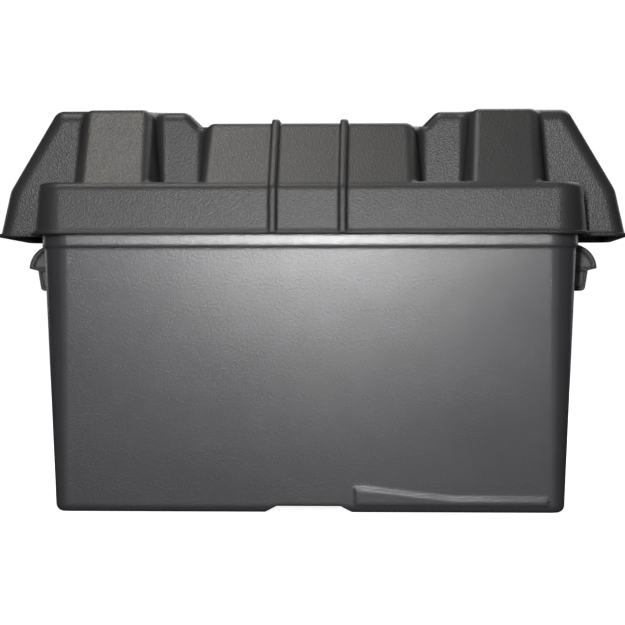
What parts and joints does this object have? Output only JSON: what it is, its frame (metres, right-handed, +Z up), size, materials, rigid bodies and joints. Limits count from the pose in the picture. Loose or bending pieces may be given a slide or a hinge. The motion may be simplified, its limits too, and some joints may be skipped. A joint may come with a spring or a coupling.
{
  "type": "deep cycle battery in a lidded battery box",
  "caption": "Deep cycle lead-acid battery inside a closed moulded battery box with strap guides, end grips and winged lid over cable outlets.",
  "frame": {"origin": "centre of the tub's underside, on the surface it stands on", "axes": "+X along the length, -Y towards the user, +Z up"},
  "size_m": [0.4346, 0.237, 0.2735],
  "materials": {
    "tub_plastic": "black moulded polypropylene, smooth matte",
    "lid_plastic": "black moulded polypropylene, pebbled",
    "case_plastic": "black polypropylene, satin",
    "cover_plastic": "black polypropylene, satin",
    "positive_plate": "dark brown lead oxide paste on a lead grid",
    "negative_plate": "grey sponge lead paste on a lead grid",
    "separator_sheet": "off-white microporous polyethylene",
    "lead": "cast lead, dull grey",
    "stud_steel": "stainless steel",
    "washer_steel": "stainless steel",
    "nut_steel": "stainless steel, cast",
    "cap_plastic": "black polypropylene, fine texture",
    "seal_rubber": "soft black rubber"
  },
  "bodies": {
    "tub": {"box_tub": "tub_plastic"},
    "battery": {"battery_case": "case_plastic", "battery_cover": "cover_plastic", "cell_1_negative_plates": "negative_plate", "cell_1_negative_strap": "lead", "cell_1_positive_plates": "positive_plate", "cell_1_positive_strap": "lead", "cell_1_separators": "separator_sheet", "cell_2_negative_plates": "negative_plate", "cell_2_negative_strap": "lead", "cell_2_positive_plates": "positive_plate", "cell_2_positive_strap": "lead", "cell_2_separators": "separator_sheet", "cell_3_negative_plates": "negative_plate", "cell_3_negative_strap": "lead", "cell_3_positive_plates": "positive_plate", "cell_3_positive_strap": "lead", "cell_3_separators": "separator_sheet", "cell_4_negative_plates": "negative_plate", "cell_4_negative_strap": "lead", "cell_4_positive_plates": "positive_plate", "cell_4_positive_strap": "lead", "cell_4_separators": "separator_sheet", "cell_5_negative_plates": "negative_plate", "cell_5_negative_strap": "lead", "cell_5_positive_plates": "positive_plate", "cell_5_positive_strap": "lead", "cell_5_separators": "separator_sheet", "cell_6_negative_plates": "negative_plate", "cell_6_negative_strap": "lead", "cell_6_positive_plates": "positive_plate", "cell_6_positive_strap": "lead", "cell_6_separators": "separator_sheet", "intercell_welds": "lead", "positive_terminal": "lead", "positive_bushing": "lead", "positive_stud": "stud_steel", "positive_washer": "washer_steel", "negative_terminal": "lead", "negative_bushing": "lead", "negative_stud": "stud_steel", "negative_washer": "washer_steel"},
    "lid": {"box_lid": "lid_plastic"},
    "vent_left": {"vent_cap_left": "cap_plastic", "vent_seals_left": "seal_rubber"},
    "vent_right": {"vent_cap_right": "cap_plastic", "vent_seals_right": "seal_rubber"},
    "positive_nut": {"positive_wing_nut": "nut_steel"},
    "negative_nut": {"negative_wing_nut": "nut_steel"}
  },
  "joints": [
    {"name": "battery_lift", "type": "slide", "parent": "tub", "child": "battery", "axis": [0, 0, 1], "range_m": [0, 0.21]},
    {"name": "lid_lift", "type": "slide", "parent": "battery", "child": "lid", "axis": [0, 0, 1], "range_m": [0, 0.15]},
    {"name": "vent_left_lift", "type": "slide", "parent": "battery", "child": "vent_left", "axis": [0, 0, 1], "range_m": [0, 0.022]},
    {"name": "vent_right_lift", "type": "slide", "parent": "battery", "child": "vent_right", "axis": [0, 0, 1], "range_m": [0, 0.022]},
    {"name": "positive_nut_turn", "type": "hinge", "parent": "battery", "child": "positive_nut", "pos_m": [-0.13425, -0.031, 0.225], "axis": [0, 0, 1], "continuous": true},
    {"name": "negative_nut_turn", "type": "hinge", "parent": "battery", "child": "negative_nut", "pos_m": [0.13425, -0.031, 0.225], "axis": [0, 0, 1], "continuous": true}
  ]
}
